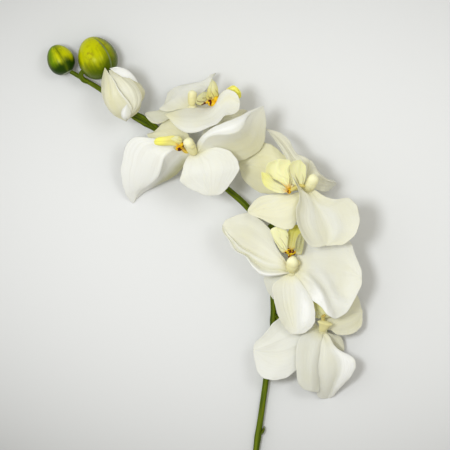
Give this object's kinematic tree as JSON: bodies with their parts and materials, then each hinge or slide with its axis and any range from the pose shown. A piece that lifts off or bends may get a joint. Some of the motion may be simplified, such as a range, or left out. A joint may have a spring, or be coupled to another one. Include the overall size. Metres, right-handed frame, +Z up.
{
  "type": "moth orchid stem",
  "caption": "Cut arching spray of white moth orchid lying on its side: open blooms with yellow lips, an opening white bud and closed green buds at the tip.",
  "frame": {"origin": "on the resting surface, below the middle of the whole spray's bounding box", "axes": "+Y along the spray from the cut end towards the bud at the tip, +Z up from the surface that it lies on, +X to the side that its first blooms lean to"},
  "size_m": [0.221, 0.394, 0.0537],
  "materials": {
    "petal": "satin",
    "lip": "satin",
    "column": "satin",
    "stem": "satin",
    "green_bud": "satin"
  },
  "bodies": {
    "root": {"stem": "stem", "bloom_1_tepals": "petal", "bloom_1_column": "column", "bloom_1_lip": "lip", "bloom_2_tepals": "petal", "bloom_2_column": "column", "bloom_2_lip": "lip", "bloom_3_tepals": "petal", "bloom_3_column": "column", "bloom_3_lip": "lip", "bloom_4_tepals": "petal", "bloom_4_column": "column", "bloom_4_lip": "lip", "bloom_5_tepals": "petal", "bloom_5_column": "column", "bloom_5_lip": "lip", "bud_white": "petal", "bud_green_large": "green_bud", "bud_green_small": "green_bud"}
  },
  "joints": []
}
